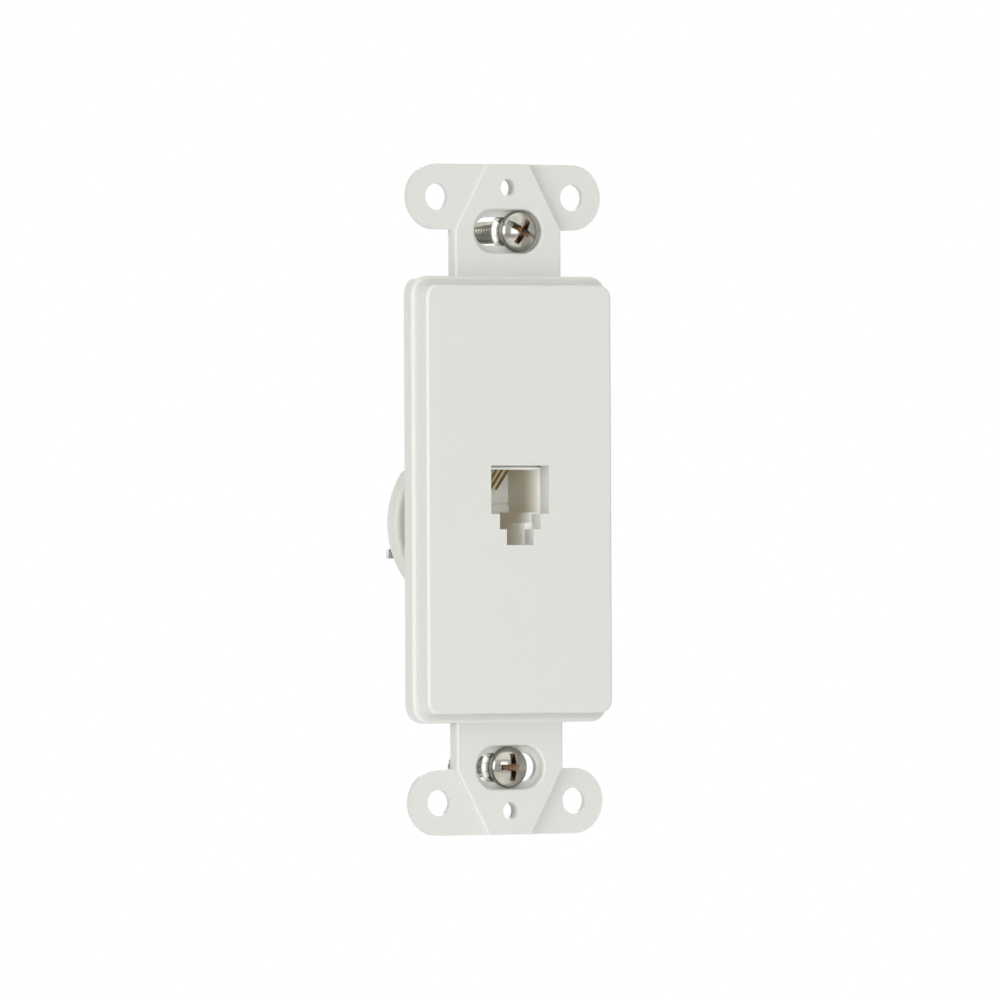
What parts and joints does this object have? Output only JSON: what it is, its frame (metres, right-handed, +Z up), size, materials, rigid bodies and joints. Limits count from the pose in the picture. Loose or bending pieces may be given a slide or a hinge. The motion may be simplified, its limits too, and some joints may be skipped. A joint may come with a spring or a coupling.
{
  "type": "telephone wall socket",
  "caption": "Flush wall telephone socket: slim strap with ears, raised rectangular face, stepped plug opening and a round terminal base behind.",
  "frame": {"origin": "middle of the strap's rear plane, half-way between the mounting screws and on the socket's centre line", "axes": "+X to the right seen from the front, +Z up, +Y into the wall; the face looks along -Y"},
  "size_m": [0.0352, 0.0209, 0.1042],
  "materials": {
    "white_plastic": "satin off-white moulded plastic",
    "cream_plastic": "satin cream moulded plastic",
    "gold_contact": "gold plated spring wire",
    "plated_steel": "bright nickel plate",
    "retainer_steel": "dull zinc plate",
    "tinned_brass": "tinned",
    "black_insulation": "smooth soft insulation",
    "red_insulation": "smooth soft insulation",
    "green_insulation": "smooth soft insulation",
    "yellow_insulation": "smooth soft insulation"
  },
  "bodies": {
    "root": {"frame_moulding": "white_plastic", "jack_housing": "cream_plastic", "contact_carrier": "cream_plastic", "contact_wire_1": "gold_contact", "contact_wire_2": "gold_contact", "contact_wire_3": "gold_contact", "contact_wire_4": "gold_contact", "terminal_base": "cream_plastic", "terminal_screw_1": "plated_steel", "terminal_screw_2": "plated_steel", "terminal_screw_3": "plated_steel", "terminal_screw_4": "plated_steel", "clamp_washer_1": "plated_steel", "clamp_washer_2": "plated_steel", "clamp_washer_3": "plated_steel", "clamp_washer_4": "plated_steel", "spade_lug_1": "tinned_brass", "spade_lug_2": "tinned_brass", "spade_lug_3": "tinned_brass", "spade_lug_4": "tinned_brass", "lead_wire_1": "black_insulation", "lead_wire_2": "red_insulation", "lead_wire_3": "green_insulation", "lead_wire_4": "yellow_insulation", "mounting_screw_upper": "plated_steel", "mounting_screw_lower": "plated_steel", "screw_retainer_upper": "retainer_steel", "screw_retainer_lower": "retainer_steel"}
  },
  "joints": []
}
